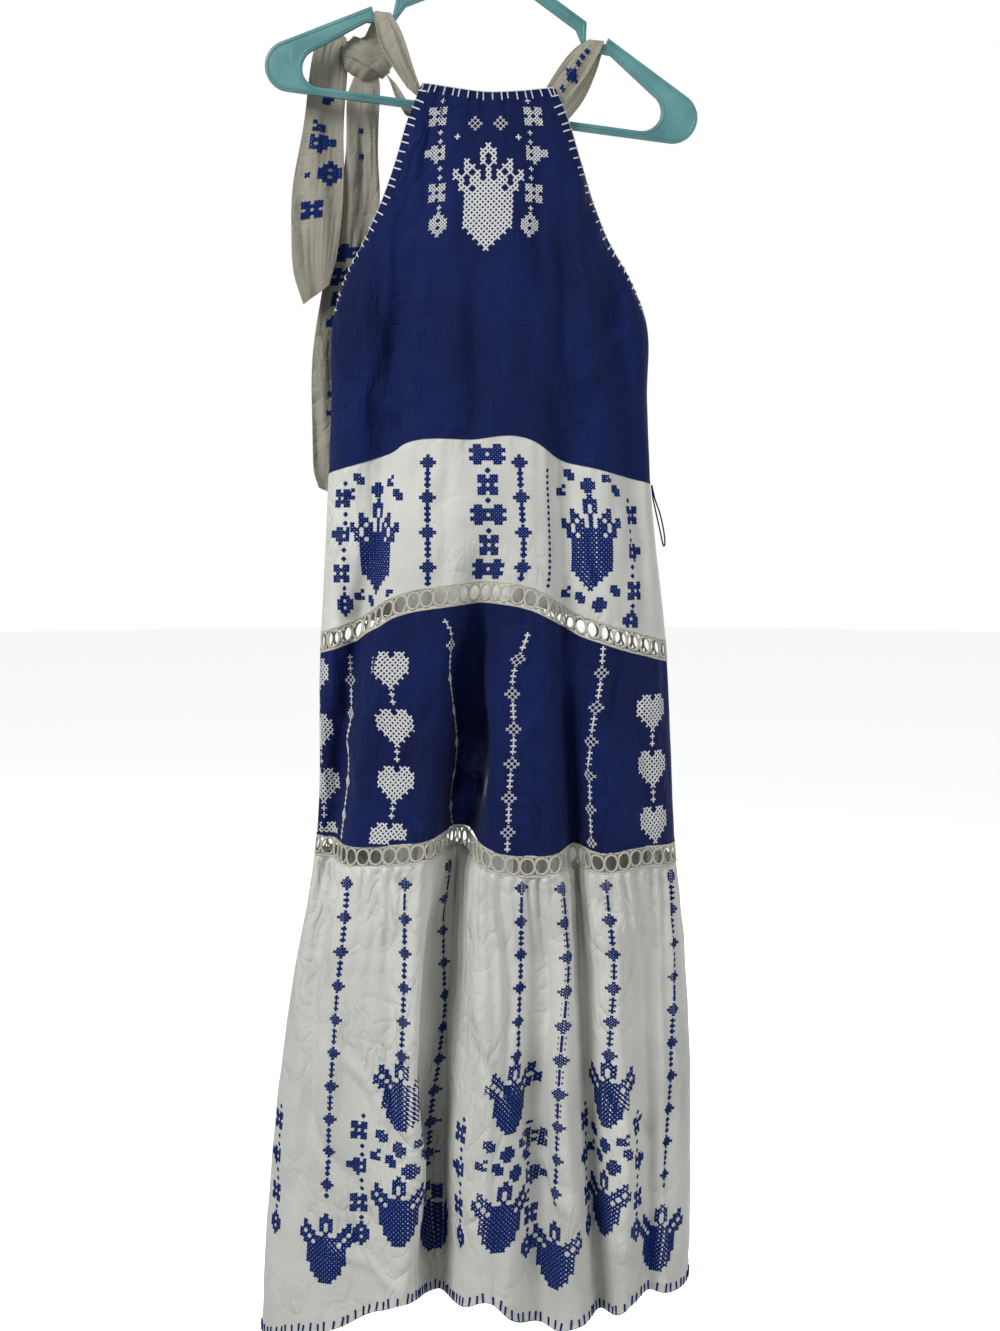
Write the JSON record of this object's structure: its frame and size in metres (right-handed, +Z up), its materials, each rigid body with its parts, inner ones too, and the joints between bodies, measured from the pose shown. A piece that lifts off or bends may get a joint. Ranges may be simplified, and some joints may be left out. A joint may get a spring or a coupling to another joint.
{
  "type": "tiered halter maxi dress on a plastic clothes hanger",
  "caption": "Sleeveless halter-neck maxi dress in gathered tiers with ring-lace bands and a knotted sash, hung open and rigid on a moulded hanger.",
  "frame": {"origin": "inside top of the hanger's hook, where a rail holds it", "axes": "+Z up along the hanging dress, -Y out of the dress's front, +X to the right of someone looking at its front"},
  "size_m": [0.4627, 0.2033, 1.5004],
  "materials": {
    "blue_cotton": "royal-blue plain-weave cotton",
    "off_white_cotton": "off-white plain-weave cotton",
    "ring_lace": "cream ring-lace insertion",
    "sash_cotton": "beige-white plain-weave cotton",
    "navy_cord": "twisted navy thread",
    "teal_plastic": "moulded teal plastic, satin"
  },
  "bodies": {
    "root": {"bodice_front": "blue_cotton", "bodice_back": "blue_cotton", "tier_1_front": "off_white_cotton", "tier_1_back": "off_white_cotton", "lace_1_front": "ring_lace", "lace_1_back": "ring_lace", "tier_2_front": "blue_cotton", "tier_2_back": "blue_cotton", "lace_2_front": "ring_lace", "lace_2_back": "ring_lace", "tier_3_front": "off_white_cotton", "tier_3_back": "off_white_cotton", "sash_right": "sash_cotton", "sash_front_left": "sash_cotton", "sash_back_left": "sash_cotton", "sash_knot": "sash_cotton", "sash_tail_short": "sash_cotton", "sash_tail_long": "sash_cotton", "side_loop": "navy_cord", "hanger_frame": "teal_plastic", "hanger_hook": "teal_plastic"}
  },
  "joints": []
}
